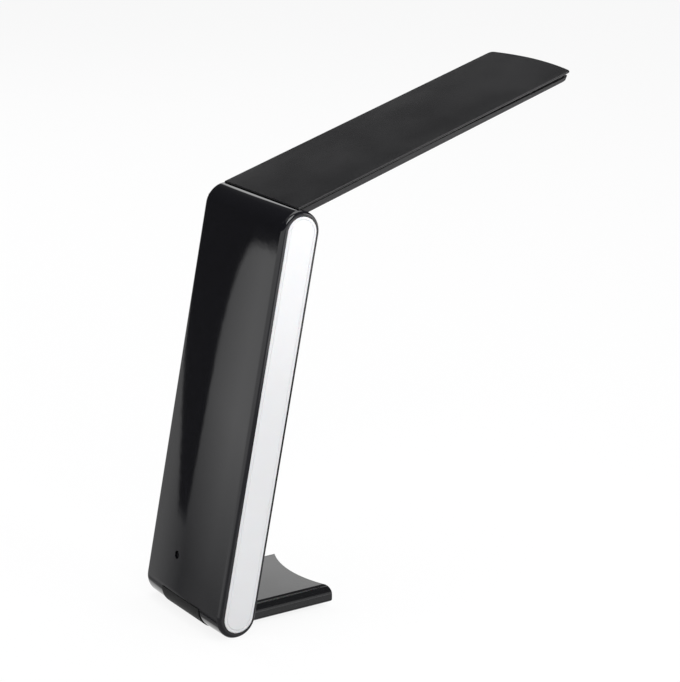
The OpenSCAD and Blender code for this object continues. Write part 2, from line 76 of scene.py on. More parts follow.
# ---------- sizes and colours ----------
class LampSizes(bpy.types.PropertyGroup):
    back_crown: FloatProperty(
        name="Back crown", description="How far the back bulges across its width",
        default=1.1 * MM, min=0.0, max=2 * MM, unit="LENGTH")
    back_edge: FloatProperty(
        name="Back edge", description="Rounding between the back and the sides",
        default=2.2 * MM, min=0.5 * MM, max=3 * MM, unit="LENGTH")
    front_edge: FloatProperty(
        name="Front edge", description="Rounding of the sides' front edges",
        default=0.8 * MM, min=0.3 * MM, max=1 * MM, unit="LENGTH")
    inlay_radius: FloatProperty(
        name="Inlay radius", description="Half the width of a white side strip",
        default=9 * MM, min=6 * MM, max=9.5 * MM, unit="LENGTH")
    inlay_shift: FloatProperty(
        name="Inlay shift", description="How far the strip sits towards the front",
        default=1.7 * MM, min=0.0, max=2 * MM, unit="LENGTH")
    inlay_soft: FloatProperty(
        name="Inlay edge", description="Width of the strip's soft edge",
        default=1.3 * MM, min=0.2 * MM, max=3 * MM, unit="LENGTH")
    head_reach: FloatProperty(
        name="Head reach", description="Distance from the hinge axis to the head's tip",
        default=195 * MM, min=150 * MM, max=196 * MM, unit="LENGTH")
    head_thick: FloatProperty(
        name="Head thickness", description="Thickness of the head slab",
        default=4.9 * MM, min=4 * MM, max=5 * MM, unit="LENGTH")
    cover_thick: FloatProperty(
        name="Cover thickness", description="Thickness of the head's top cover",
        default=1.05 * MM, min=1 * MM, max=2 * MM, unit="LENGTH")
    head_corner: FloatProperty(
        name="Head corner", description="Corner radius at the head's tip",
        default=2.7 * MM, min=0.5 * MM, max=8 * MM, unit="LENGTH")
    foot_edge: FloatProperty(
        name="Foot edge", description="Rounding of the foot's long edges",
        default=5 * MM, min=1 * MM, max=6 * MM, unit="LENGTH")
    arc_steps: IntProperty(
        name="Arc steps", description="Facets in each round end", default=48, min=12, max=96)


def colour(name, description, value):
    return FloatVectorProperty(name=name, description=description, default=value,
                               size=3, min=0.0, max=1.0, subtype="COLOR")


class LampColours(bpy.types.PropertyGroup):
    shell: colour("Shell", "Glossy back shell", (0.0062, 0.0062, 0.0082))
    head: colour("Head", "Top cover of the head", (0.006, 0.006, 0.007))
    moulding: colour("Moulding", "Satin inner mouldings", (0.012, 0.012, 0.013))
    foot: colour("Foot", "Glossy foot", (0.007, 0.007, 0.008))
    inlay: colour("Inlay", "White side strips", (0.725, 0.728, 0.735))
    rubber: colour("Rubber", "Feet and strip", (0.008, 0.008, 0.008))
    steel: colour("Steel", "Pins, springs and screws", (0.55, 0.56, 0.58))
    diffuser: colour("Diffuser", "Opal light window", (0.8, 0.79, 0.75))
    board: colour("Board", "Printed board", (0.03, 0.16, 0.07))
    cell: colour("Cell", "Battery jackets", (0.09, 0.11, 0.14))
    chip: colour("Chip", "Light chips", (0.85, 0.66, 0.2))
    floor: colour("Floor", "Studio floor", (0.93, 0.93, 0.93))


def sizes():
    return bpy.context.scene.lamp_sizes


def colours():
    return bpy.context.scene.lamp_colours


# ---------- frames of the three moving parts ----------
def post_point(v, y, u):
    """v forward of the post's middle, y across, u up the post from the bottom axis."""
    return Vector((v * math.cos(LEAN) + u * math.sin(LEAN), y,
                   POST_RADIUS - v * math.sin(LEAN) + u * math.cos(LEAN)))


def head_point(x, y, k):
    """x along the open head from its hinge axis, k square to it."""
    return HEAD_AXIS + Vector((x * math.cos(HEAD_PITCH) - k * math.sin(HEAD_PITCH), y,
                               x * math.sin(HEAD_PITCH) + k * math.cos(HEAD_PITCH)))


def foot_point(x, y, z):
    return FOOT_AXIS + Vector((x, y, z))


# ---------- node maths ----------
class Socket:
    """A shader socket that takes part in Python expressions."""

    def __init__(self, graph, link):
        self.graph = graph
        self.link = link

    def _math(self, operation, *others):
        return self.graph.node("ShaderNodeMath", {"operation": operation},
                               **{str(i): value for i, value in enumerate((self,) + others)})

    def __add__(self, other):
        return self._math("ADD", other)

    __radd__ = __add__

    def __sub__(self, other):
        return self._math("SUBTRACT", other)

    def maximum(self, other):
        return self._math("MAXIMUM", other)

    def __rsub__(self, other):
        return (self * -1.0) + other

    def __mul__(self, other):
        return self._math("MULTIPLY", other)

    __rmul__ = __mul__

    def clamp(self, low, high):
        return self._math("MAXIMUM", low)._math("MINIMUM", high)


class Graph:
    """A material's or world's nodes."""

    def __init__(self, tree):
        self.tree = tree
        tree.nodes.clear()

    def node(self, kind, settings=None, output=0, **inputs):
        made = self.tree.nodes.new(kind)
        for key, value in (settings or {}).items():
            setattr(made, key, value)
        for key, value in inputs.items():
            socket = made.inputs[int(key)] if key.isdigit() else made.inputs[key.replace("_", " ")]
            if isinstance(value, Socket):
                self.tree.links.new(value.link, socket)
            elif socket.type == "RGBA":
                socket.default_value = (*value, 1.0)
            else:
                socket.default_value = value
        return Socket(self, made.outputs[output] if made.outputs else None)

    def noise(self, scale, detail=3.0, roughness=0.5, stretch=(1, 1, 1)):
        place = self.node("ShaderNodeTexCoord", output=3)
        spread = self.node("ShaderNodeMapping", Vector=place, Scale=stretch)
        return self.node("ShaderNodeTexNoise", Vector=spread, Scale=scale, Detail=detail,
                         Roughness=roughness)

    def band(self, value, low, high):
        """0 below low, 1 above high, straight between."""
        return self.node("ShaderNodeMapRange", Value=value, **{"From Min": low, "From Max": high})

    def grey(self, value):
        return self.node("ShaderNodeCombineXYZ", X=value, Y=value, Z=value)

    def mix(self, factor, a, b):
        return self.node("ShaderNodeMix", {"data_type": "RGBA"}, output=2,
                         **{"0": factor, "6": a, "7": b})

    def bump(self, height, strength, distance):
        return self.node("ShaderNodeBump", Height=height, Strength=strength, Distance=distance)


def material(name, build):
    made = bpy.data.materials.get(name)
    if made is None:
        made = bpy.data.materials.new(name)
        made.use_nodes = True
        graph = Graph(made.node_tree)
        graph.node("ShaderNodeOutputMaterial", Surface=build(graph))
    return made


def shade(rgb, factor):
    return tuple(min(1.0, part * factor) for part in rgb)


def gloss_black(name, rgb, roughness, haze=0.02):
    """High-gloss moulding: a clear skin over black, with faint handling haze and orange peel."""
    def build(g):
        smear = g.band(g.noise(38, 4, 0.6, (1, 1, 0.35)), 0.45, 0.75)
        dust = g.band(g.noise(900, 2), 0.70, 0.80)
        peel = g.noise(160, 2)
        return g.node(
            "ShaderNodeBsdfPrincipled",
            **{"Base Color": g.mix(dust * 0.25, rgb, shade(rgb, 2.2)),
               "Roughness": smear * haze + roughness, "IOR": 1.5,
               "Coat Weight": 0.25, "Coat Roughness": 0.03,
               "Normal": g.bump(peel, 0.02, 0.0004)})
    return material(name, build)


def satin_moulding(name, rgb, roughness, grain=0.25):
    """Fine spark-eroded texture on moulded plastic."""
    def build(g):
        fine = g.noise(2600, 2)
        cloud = g.noise(30, 3)
        return g.node(
            "ShaderNodeBsdfPrincipled",
            **{"Base Color": g.mix(cloud, shade(rgb, 0.9), shade(rgb, 1.12)),
               "Roughness": g.band(cloud, 0.3, 0.7) * 0.05 + roughness,
               "Normal": g.bump(fine, grain, 0.00006)})
    return material(name, build)


def white_gloss(name, rgb):
    def build(g):
        cloud = g.noise(14, 2)
        return g.node(
            "ShaderNodeBsdfPrincipled",
            **{"Base Color": g.mix(cloud, rgb, shade(rgb, 0.985)),
               "Roughness": g.band(g.noise(50, 3), 0.4, 0.7) * 0.03 + 0.10,
               "Coat Weight": 0.3, "Coat Roughness": 0.04,
               "Subsurface Weight": 0.05, "Subsurface Scale": 0.002,
               "Normal": g.bump(g.noise(200, 2), 0.015, 0.0003)})
    return material(name, build)


def metal(name, rgb, roughness, brushed=(1, 1, 1)):
    def build(g):
        streak = g.noise(700, 3, 0.6, brushed)
        return g.node(
            "ShaderNodeBsdfPrincipled",
            **{"Base Color": g.mix(streak, shade(rgb, 0.85), rgb), "Metallic": 1.0,
               "Roughness": streak * 0.12 + roughness, "Normal": g.bump(streak, 0.08, 0.0001)})
    return material(name, build)


def rubber(name, rgb):
    def build(g):
        grain = g.noise(1800, 3, 0.7)
        worn = g.band(g.noise(60, 3), 0.5, 0.8)
        return g.node(
            "ShaderNodeBsdfPrincipled",
            **{"Base Color": g.mix(worn, rgb, shade(rgb, 1.8)), "Roughness": worn * 0.1 + 0.62,
               "Normal": g.bump(grain, 0.35, 0.00015)})
    return material(name, build)


def opal(name, rgb):
    def build(g):
        prism = g.noise(1400, 1)
        return g.node(
            "ShaderNodeBsdfPrincipled",
            **{"Base Color": g.mix(g.noise(25, 2), rgb, shade(rgb, 0.96)), "Roughness": 0.32,
               "Subsurface Weight": 0.2, "Subsurface Scale": 0.002,
               "Normal": g.bump(prism, 0.2, 0.0001)})
    return material(name, build)


FINISHES = {
    "black_gloss_shell": lambda c: gloss_black("Gloss shell", c.shell, 0.035),
    "black_head": lambda c: satin_moulding("Head cover", c.head, 0.16, 0.05),
    "black_satin": lambda c: satin_moulding("Satin moulding", c.moulding, 0.38),
    "white_inlay": lambda c: white_gloss("White strip", c.inlay),
    "foot_gloss": lambda c: gloss_black("Gloss foot", c.foot, 0.10),
    "inner_plastic": lambda c: satin_moulding("Inner plastic", c.moulding, 0.55),
    "nickel": lambda c: metal("Nickel", shade(c.steel, 1.25), 0.18),
    "spring_steel": lambda c: metal("Spring wire", c.steel, 0.22),
    "pin_steel": lambda c: metal("Ground steel", c.steel, 0.2, (1, 0.1, 1)),
    "ballast_steel": lambda c: metal("Primed plate", shade(c.steel, 0.5), 0.5),
    "cell_jacket": lambda c: satin_moulding("Cell jacket", c.cell, 0.25, 0.03),
    "board_green": lambda c: satin_moulding("Solder mask", c.board, 0.3, 0.05),
    "board_white": lambda c: satin_moulding("White mask", (0.8, 0.8, 0.8), 0.35, 0.05),
    "component_grey": lambda c: satin_moulding("Components", (0.05, 0.05, 0.055), 0.45),
    "led_yellow": lambda c: satin_moulding("Phosphor", c.chip, 0.3, 0.02),
    "diffuser_white": lambda c: opal("Opal window", c.diffuser),
    "rubber": lambda c: rubber("Rubber", c.rubber),
    "screw_steel": lambda c: metal("Blackened steel", shade(c.steel, 0.25), 0.35),
}


def finish(slot):
    return FINISHES[slot](colours())


# ---------- mesh making ----------
def make_piece(name, points, faces, body, slot, replaces=(), sharp=35):
    """A smooth-shaded mesh whose edges above the sharp angle stay crisp."""
    mesh = bpy.data.meshes.new(name)
    mesh.from_pydata([tuple(p) for p in points], [], faces)
    shaped = bmesh.new()
    shaped.from_mesh(mesh)
    bmesh.ops.recalc_face_normals(shaped, faces=shaped.faces)
    crisp(shaped, sharp)
    shaped.to_mesh(mesh)
    shaped.free()
    return add_piece(name, mesh, body, slot, replaces)


def crisp(shaped, sharp):
    limit = math.radians(sharp)
    for face in shaped.faces:
        face.smooth = True
    for edge in shaped.edges:
        edge.smooth = len(edge.link_faces) == 2 and edge.calc_face_angle(0) < limit


def steady(piece):
    """Keeps wide flat faces flat in the shading beside their rounded edges."""
    weigh = piece.modifiers.new("steady", "WEIGHTED_NORMAL")
    weigh.keep_sharp = True


def add_piece(name, mesh, body, slot, replaces=()):
    piece = bpy.data.objects.new(name, mesh)
    steady(piece)
    bpy.context.scene.collection.objects.link(piece)
    mesh.materials.append(finish(slot))
    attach(piece, body)
    if replaces:
        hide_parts(*replaces)
    return piece


def stacked(loops):
    """Points and faces of a closed solid through loops of equal count."""
    count = len(loops[0])
    points = [p for loop in loops for p in loop]
    faces = [list(range(count))[::-1], list(range((len(loops) - 1) * count, len(loops) * count))]
    for level in range(len(loops) - 1):
        for i in range(count):
            j = (i + 1) % count
            low = level * count
            faces.append([low + i, low + j, low + count + j, low + count + i])
    return points, faces


def cut(piece, cutters, sharp=35, solver="EXACT"):
    """Takes the cutters' solids away from the piece, fills any three-sided hole that the cut
    leaves, and bins the cutters."""
    piece.modifiers.clear()
    for cutter in cutters:
        step = piece.modifiers.new("cut", "BOOLEAN")
        step.operation = "DIFFERENCE"
        step.solver = solver
        step.object = cutter
    bpy.context.view_layer.update()
    solid = piece.evaluated_get(bpy.context.evaluated_depsgraph_get())
    mesh = bpy.data.meshes.new_from_object(solid)
    piece.modifiers.clear()
    old = piece.data
    piece.data = mesh
    bpy.data.meshes.remove(old)
    shaped = bmesh.new()
    shaped.from_mesh(mesh)
    bmesh.ops.remove_doubles(shaped, verts=shaped.verts, dist=1e-6)
    gaps = [edge for edge in shaped.edges if edge.is_boundary]
    bmesh.ops.holes_fill(shaped, edges=gaps, sides=3)
    crisp(shaped, sharp)
    shaped.to_mesh(mesh)
    shaped.free()
    steady(piece)
    for cutter in cutters:
        bpy.data.meshes.remove(cutter.data)


def cutter_from(points, faces):
    mesh = bpy.data.meshes.new("cutter")
    mesh.from_pydata([tuple(p) for p in points], [], faces)
    shaped = bmesh.new()
    shaped.from_mesh(mesh)
    bmesh.ops.recalc_face_normals(shaped, faces=shaped.faces)
    shaped.to_mesh(mesh)
    shaped.free()
    made = bpy.data.objects.new("cutter", mesh)
    bpy.context.scene.collection.objects.link(made)
    return made


def box_loops(place, x0, x1, y0, y1, z0, z1):
    corners = ((x0, y0), (x1, y0), (x1, y1), (x0, y1))
    return [[place(x, y, z) for x, y in corners] for z in (z0, z1)]


def box_between(place, name, x, y, z, body, slot):
    points, faces = stacked(box_loops(place, *x, *y, *z))
    return make_piece(name, points, faces, body, slot)


def rod_loops(place, x, z, ends, radius, edge, steps=48):
    """Loops of a round bar along Y with softened ends."""
    loops = []
    for y, shrink in ((ends[0], edge), (ends[0] + edge, 0), (ends[1] - edge, 0), (ends[1], edge)):
        loops.append([place(x + (radius - shrink) * math.cos(a), y,
                            z + (radius - shrink) * math.sin(a))
                      for a in (2 * math.pi * i / steps for i in range(steps))])
    return loops


def ease(low, high, value):
    t = min(1.0, max(0.0, (value - low) / (high - low)))
    return t * t * (3 - 2 * t)


# ---------- post ----------
WRAP_BACK = 2.1 * MM
WRAP_FRONT = 3.8 * MM
SHELL_WALL = 1.8 * MM
INLAY_DEPTH = 1.1 * MM
INLET_HEIGHT = 19.3 * MM
INLET_OFFSET = 10.1 * MM
INLET_RADIUS = 2.2 * MM
INLET_FLARE = 0.25 * MM
INLET_RIM = (0.07 * MM, 0.27 * MM)  # depths between which the flare narrows
EDGE_STEPS = 10
CROWN_STATIONS = (0, 0.16, 0.32, 0.48, 0.64, 0.78, 0.88)  # shares of the half width
POCKET_GAP = 0.05 * MM
INLAY_ROUND = 0.42 * MM
INLAY_STEPS = 8
# Fine groove inside a white strip's rim: (distance inwards, depth under the side)
STRIP_GROOVE = ((0.15 * MM, 0.02 * MM), (0.30 * MM, 0.30 * MM), (0.45 * MM, 0.30 * MM),
                (0.60 * MM, 0.04 * MM), (0.95 * MM, 0.0))
HEAD_EAR_IN = 31.5 * MM
FOOT_EAR_IN = 31.8 * MM
EAR_RADIUS = 6.8 * MM
EAR_EDGE = 0.3 * MM
HEAD_WEB_DEPTH = (-10.3 * MM, -2.2 * MM)
HEAD_WEB_HEIGHT = (SPAN - 6 * MM, SPAN + 5 * MM)
FOOT_EAR_DEPTH = (-7 * MM, WRAP_FRONT - 0.2 * MM)
FOOT_EAR_HEIGHT = (-7 * MM, -0.2 * MM)
# Socket's centre pin with a pointed tip: (depth, radius)
PIN_TURNS = ((-9.2 * MM, 0.3 * MM), (-9.0 * MM, 0.5 * MM), (-2.3 * MM, 0.5 * MM))


def shell_stations():
    """(axis height, turn) along the post's outline: over the top, down the back, round the
    foot and up the front. Turn is the angle from straight up, backwards."""
    steps = sizes().arc_steps
    start = math.asin(WRAP_BACK / POST_RADIUS)
    under = math.pi + math.asin(WRAP_FRONT / POST_RADIUS)
    quarter = math.pi / 2

    def arc(height, a, b, count):
        return [(height, a + (b - a) * i / count) for i in range(count + 1)]

    back = arc(SPAN, start, quarter, steps // 2)
    back += [(SPAN * i / 12, quarter) for i in range(11, 0, -1)]
    back += arc(0.0, quarter, under, steps // 2 + 8)
    front = arc(0.0, under, 3 * quarter, steps // 3)[1:]
    front += [(SPAN * i / 8, 3 * quarter) for i in range(1, 8)]
    front += arc(SPAN, 3 * quarter, 2 * math.pi + start, steps // 2)[:-1]
    return back, front


def edge_at(turn):
    s = sizes()
    return s.front_edge + (s.back_edge - s.front_edge) * ease(-1.0, 0.4, math.sin(turn))


def crown_at(turn, y):
    return sizes().back_crown * ease(0.0, 1.0, math.sin(turn)) * (y / HALF_WIDTH) ** 2


def inlay_reach(turn, radius):
    """Distance from an end's axis to the strip's outline along a turn, or the straight side's."""
    shift = sizes().inlay_shift
    side = -math.sin(turn) * shift
    return side + math.sqrt(side * side - shift * shift + radius * radius)


def outline_point(height, turn, radius, y):
    return post_point(-math.sin(turn) * radius, y, height + math.cos(turn) * radius)


def shell_half(turn, middle):
    """Points of one half section from the middle outwards to the strip's pocket."""
    edge = edge_at(turn)
    bend = HALF_WIDTH - edge
    row = [(y, POST_RADIUS - crown_at(turn, y)) for y in middle]
    cheek = min(CHEEK_IN, bend)
    row.append((cheek, POST_RADIUS - crown_at(turn, cheek)))
    for i in range(EDGE_STEPS + 1):
        a = math.pi / 2 * i / EDGE_STEPS
        y = bend + edge * math.sin(a)
        row.append((y, POST_RADIUS - crown_at(turn, y) - edge * (1 - math.cos(a))))
    pocket = inlay_reach(turn, sizes().inlay_radius + POCKET_GAP)
    row.append((HALF_WIDTH, pocket))
    row.append((HALF_WIDTH - INLAY_DEPTH, pocket))
    return row


def rear_shell_mesh():
    """The whole shell as one closed mesh: full rows behind, cheek rows in front."""
    back, front = shell_stations()
    middle = [HALF_WIDTH * share for share in CROWN_STATIONS]
    points, faces = [], []

    def put(point):
        points.append(point)
        return len(points) - 1

    def station(height, turn, full):
        half = shell_half(turn, middle)
        if not full:
            half = [(CHEEK_IN, POST_RADIUS)] + half[len(middle) + 1:]
        right = [put(outline_point(height, turn, r, y)) for y, r in half]
        left = [put(outline_point(height, turn, r, -y)) for y, r in half]
        if full:
            points.pop(left[0])
            left = [i - 1 for i in left]
            return {"row": left[:0:-1] + right, "right": right[len(middle):],
                    "left": left[len(middle):]}
        return {"right": right, "left": left}

    rows_back = [station(*s, True) for s in back]
    rows_front = [station(*s, False) for s in front]
    for i in range(len(rows_back) - 1):
        a, b = rows_back[i]["row"], rows_back[i + 1]["row"]
        for j in range(len(a) - 1):
            faces.append([a[j], a[j + 1], b[j + 1], b[j]])
    cheeks = [rows_back[-1]] + rows_front + [rows_back[0]]
    for i in range(len(cheeks) - 1):
        for side in ("left", "right"):
            a, b = cheeks[i][side], cheeks[i + 1][side]
            for j in range(len(a) - 1):
                faces.append([a[j], a[j + 1], b[j + 1], b[j]])
    # Inner wall behind, its two ends, the cheeks' inner faces and the pockets' floors
    inner = {}
    for side, y in (("left", -CHEEK_IN), ("right", CHEEK_IN)):
        inner[side] = [put(outline_point(h, t, POST_RADIUS - SHELL_WALL, y)) for h, t in back]
        faces.append(inner[side] + [r[side][0] for r in rows_front])
        faces.append([r[side][-1] for r in rows_back + rows_front])
    for i in range(len(back) - 1):
        faces.append([inner["left"][i], inner["right"][i], inner["right"][i + 1],
                      inner["left"][i + 1]])
    for end in (0, -1):
        row = rows_back[end]
        span = row["row"][row["row"].index(row["left"][0]):row["row"].index(row["right"][0]) + 1]
        faces.append([inner["left"][end], *span, inner["right"][end]])
    return points, faces


def strip_loop(radius, y, steps=40):
    loop = []
    for height, start in ((SPAN, -math.pi / 2), (0.0, math.pi / 2)):
        for i in range(steps + 1):
            turn = start + math.pi * i / steps
            loop.append(post_point(sizes().inlay_shift - math.sin(turn) * radius, y,
                                   height + math.cos(turn) * radius))
    return loop


def turned(offset, height, ends, around=32):
    """A turned shape on an axis square to the post, through (depth, radius) pairs."""
    turns = [2 * math.pi * i / around for i in range(around)]
    return stacked([[post_point(v, offset + radius * math.cos(a), height + radius * math.sin(a))
                     for a in turns] for v, radius in ends])


def inlet_rod(ends):
    return turned(INLET_OFFSET, INLET_HEIGHT, ends)


def build_post(scene_sizes):
    points, faces = rear_shell_mesh()
    shell = make_piece("post_shell", points, faces, "post", "black_gloss_shell", ("rear_shell",),
                       sharp=50)
    rim = INLET_RADIUS + INLET_FLARE
    inlet = ((-POST_RADIUS - MM, rim), (-POST_RADIUS + INLET_RIM[0], rim),
             (-POST_RADIUS + INLET_RIM[1], INLET_RADIUS),
             (-POST_RADIUS + SHELL_WALL + MM, INLET_RADIUS))
    cut(shell, [cutter_from(*inlet_rod(inlet))], 50)
    radius = scene_sizes.inlay_radius
    soft = scene_sizes.inlay_soft
    for name, side in (("side_inlay_near", -1), ("side_inlay_far", 1)):
        loops = [strip_loop(radius, side * (HALF_WIDTH - INLAY_DEPTH)),
                 strip_loop(radius, side * (HALF_WIDTH - INLAY_ROUND))]
        for i in range(1, INLAY_STEPS + 1):
            a = math.pi / 2 * i / INLAY_STEPS
            loops.append(strip_loop(radius - soft * (1 - math.cos(a)),
                                    side * (HALF_WIDTH - INLAY_ROUND * (1 - math.sin(a)))))
        for inwards, down in STRIP_GROOVE:
            loops.append(strip_loop(radius - soft - inwards, side * (HALF_WIDTH - down)))
        make_piece(name.replace("side_inlay", "white_strip"), *stacked(loops), "post",
                   "white_inlay", (name,), sharp=60)
    # Hinge ears that the shell carries at both ends
    for side, sign in (("near", -1), ("far", 1)):
        ends = sorted((sign * HEAD_EAR_IN, sign * CHEEK_IN))
        loops = rod_loops(lambda x, y, z: post_point(x, y, SPAN + z), 0, 0, ends, EAR_RADIUS,
                          EAR_EDGE)
        make_piece("head_ear_" + side, *stacked(loops), "post", "black_gloss_shell")
        ends = sorted((sign * FOOT_EAR_IN, sign * CHEEK_IN))
        box_between(post_point, "head_ear_web_" + side, HEAD_WEB_DEPTH, ends, HEAD_WEB_HEIGHT,
                    "post", "black_gloss_shell")
        box_between(post_point, "foot_ear_" + side, FOOT_EAR_DEPTH, ends, FOOT_EAR_HEIGHT,
                    "post", "black_gloss_shell")
    # Centre pin, deep in the power socket
    make_piece("socket_pin", *inlet_rod(PIN_TURNS), "post", "pin_steel")


# ---------- battery door and button ----------
PANEL_FACE = 6.6 * MM
DOOR_BACK = 5.85 * MM
DOOR_HALF = 30.1 * MM
DOOR_ENDS = (120.1 * MM, 175.2 * MM)
DOOR_CORNER = 0.8 * MM
GRIP_WIDTHS = (8.0 * MM, 9.5 * MM, 10.0 * MM, 9.5 * MM, 8.0 * MM)
GRIP_PITCH = 2.4 * MM
GRIP_RADIUS = 0.9 * MM
GRIP_EDGE = 0.4 * MM
GRIP_RISE = 0.35 * MM       # how far a groove's axis lies in front of the door
GRIP_FROM_TOP = 12 * MM
# Door's rounded rim: (depth, inset)
DOOR_RINGS = ((DOOR_BACK, 0.0), (PANEL_FACE - 0.22 * MM, 0.0), (PANEL_FACE - 0.08 * MM, 0.05 * MM),
              (PANEL_FACE, 0.2 * MM))
BUTTON_HEIGHT = 97 * MM
# Button from its flange to its dished face with a fine ring, in mm: (depth, radius)
BUTTON_TURNS = ((3.4, 7.5), (4.1, 7.5), (4.1, 6.0), (6.55, 6.0), (6.74, 5.93), (6.86, 5.75),
                (6.9, 5.5), (6.88, 5.1), (6.76, 4.5), (6.7, 3.7), (6.54, 3.6), (6.54, 3.3),
                (6.69, 3.2), (6.66, 1.6), (6.65, 0.4))


def door_loop(v, inset, steps=5):
    loop = []
    low, high = DOOR_ENDS
    quarters = ((1, high), (-1, high), (-1, low), (1, low))
    for quarter, (side, end) in enumerate(quarters):
        y = side * (DOOR_HALF - DOOR_CORNER)
        u = end - DOOR_CORNER if end == high else end + DOOR_CORNER
        for i in range(steps + 1):
            a = math.pi / 2 * (quarter + i / steps)
            reach = DOOR_CORNER - inset
            loop.append(post_point(v, y + reach * math.cos(a), u + reach * math.sin(a)))
    return loop


def build_controls():
    door = make_piece("door_plate", *stacked([door_loop(v, inset) for v, inset in DOOR_RINGS]),
                      "battery_door", "black_satin", ("battery_door",), sharp=50)
    middle = DOOR_ENDS[1] - GRIP_FROM_TOP
    centre = len(GRIP_WIDTHS) // 2
    grooves = [rod_loops(post_point, PANEL_FACE + GRIP_RISE, middle + (i - centre) * GRIP_PITCH,
                         (-half, half), GRIP_RADIUS, GRIP_EDGE, 24)
               for i, half in enumerate(GRIP_WIDTHS)]
    cut(door, [cutter_from(*stacked(groove)) for groove in grooves], 40)
    ends = [(v * MM, radius * MM) for v, radius in BUTTON_TURNS]
    make_piece("button_cap", *turned(0.0, BUTTON_HEIGHT, ends, 48), "power_button",
               "black_satin", ("power_button",), sharp=40)


# ---------- head ----------
COVER_START = 4.4 * MM
ROOT_HALF = CHEEK_IN - 0.3 * MM
TIP_HALF = ROOT_HALF - 1.2 * MM
TIP_BOW = 3.3 * MM
TIP_RADIUS = (TIP_HALF ** 2 + TIP_BOW ** 2) / (2 * TIP_BOW)


def half_at(x):
    share = (x - COVER_START) / (sizes().head_reach - COVER_START)
    return ROOT_HALF + (TIP_HALF - ROOT_HALF) * share


def head_outline(start, inset, tip_inset, corner, steps=10, arc_steps=28):
    """One side then the other of the head seen from above, with a bowed tip. inset may be a
    function of x."""
    reach = sizes().head_reach - tip_inset
    centre = reach - TIP_RADIUS
    drawn = inset if callable(inset) else (lambda x: inset)
    side_at = lambda x: half_at(x) - drawn(x)
    tip_x = centre + math.sqrt(TIP_RADIUS ** 2 - side_at(reach) ** 2)
    tip_y = side_at(tip_x)
    xs = [start + (tip_x - corner - start) * i / steps for i in range(steps + 1)]
    half = [(x, side_at(x)) for x in xs]
    swing = math.atan2(tip_y, tip_x - centre)
    stop = swing - corner / TIP_RADIUS
    arc_start = (centre + TIP_RADIUS * math.cos(stop), TIP_RADIUS * math.sin(stop))
    for i in range(1, 8):
        t = i / 8
        (x0, y0), (x1, y1), (x2, y2) = half[steps], (tip_x, tip_y), arc_start
        half.append(((1 - t) ** 2 * x0 + 2 * t * (1 - t) * x1 + t * t * x2,
                     (1 - t) ** 2 * y0 + 2 * t * (1 - t) * y1 + t * t * y2))
    for i in range(arc_steps):
        a = stop * (1 - i / arc_steps)
        half.append((centre + TIP_RADIUS * math.cos(a), TIP_RADIUS * math.sin(a)))
    half.append((reach, 0.0))
    return half + [(x, -y) for x, y in half[-2::-1]]


def head_loop(start, inset, tip_inset, corner, height):
    level = height if callable(height) else (lambda x: height)
    return [head_point(x, y, level(x)) for x, y in head_outline(start, inset, tip_inset, corner)]


WINDOW = (20 * MM, 178 * MM)
WINDOW_HALF = 29 * MM
WINDOW_LEDGE = 2 * MM
BARREL_HALF = 31 * MM
BARREL_RADIUS = 6.8 * MM
BARREL_WEB = (-0.5 * MM, 7 * MM)
BARREL_WEB_HALF = 30.5 * MM
COVER_LIP = 0.45 * MM
TRAY_INSET = (0.7 * MM, 1.3 * MM)  # behind the cover's sides, at the hinge and at the tip
TRAY_DROP = 1.55 * MM              # shoulder under the head's top
TRAY_TIP_DROP = 1.2 * MM           # further drop towards the tip
SHUT_LINE = 1.3 * MM               # depth of the groove between cover and tray


def build_head(scene_sizes):
    top = POST_RADIUS
    cover_low = top - scene_sizes.cover_thick
    low = top - scene_sizes.head_thick
    corner = scene_sizes.head_corner
    reach = scene_sizes.head_reach
    rings = ((0.3 * MM, cover_low), (0.0, cover_low + 0.25 * MM), (0.0, top - COVER_LIP),
             (0.12 * MM, top - 0.16 * MM), (COVER_LIP, top))
    loops = [head_loop(COVER_START + inset, inset, inset, corner, height)
             for inset, height in rings]
    make_piece("head_top", *stacked(loops), "head", "black_head", ("head_cover",), sharp=12)

    def along(root, tip):
        return lambda x: root + (tip - root) * max(0.0, x - COVER_START) / (reach - COVER_START)

    side = along(*TRAY_INSET)
    shoulder = lambda x: top - TRAY_DROP - TRAY_TIP_DROP * ease(0.4 * reach, reach, x)
    tray_start = COVER_START + 0.6 * MM
    groove = lambda x: side(x) + SHUT_LINE
    soft = lambda x: side(x) + 0.4 * MM
    rings = ((soft, 3.6 * MM, low), (side, 3.0 * MM, low + 0.4 * MM),
             (side, 1.5 * MM, lambda x: shoulder(x) - 0.15 * MM),
             (lambda x: side(x) + 0.15 * MM, 1.6 * MM, shoulder),
             (groove, 2.8 * MM, shoulder), (groove, 2.8 * MM, cover_low - 0.02 * MM))
    loops = [head_loop(tray_start, inset, tip, corner, height) for inset, tip, height in rings]
    tray = make_piece("head_lower_tray", *stacked(loops), "head", "black_satin", ("head_tray",),
                      sharp=30)
    window = [cutter_from(*stacked(box_loops(
        head_point, WINDOW[0] + ledge, WINDOW[1] - ledge, -WINDOW_HALF + ledge,
        WINDOW_HALF - ledge, base, top)))
        for ledge, base in ((WINDOW_LEDGE, low - MM), (0.0, low + 0.2 * MM))]
    cut(tray, window)
    barrel = rod_loops(head_point, 0, 0, (-BARREL_HALF, BARREL_HALF), BARREL_RADIUS, 0.4 * MM)
    make_piece("head_barrel", *stacked(barrel), "head", "black_satin")
    box_between(head_point, "head_barrel_web", BARREL_WEB, (-BARREL_WEB_HALF, BARREL_WEB_HALF),
                (0.0, low + 0.15 * MM), "head", "black_satin")


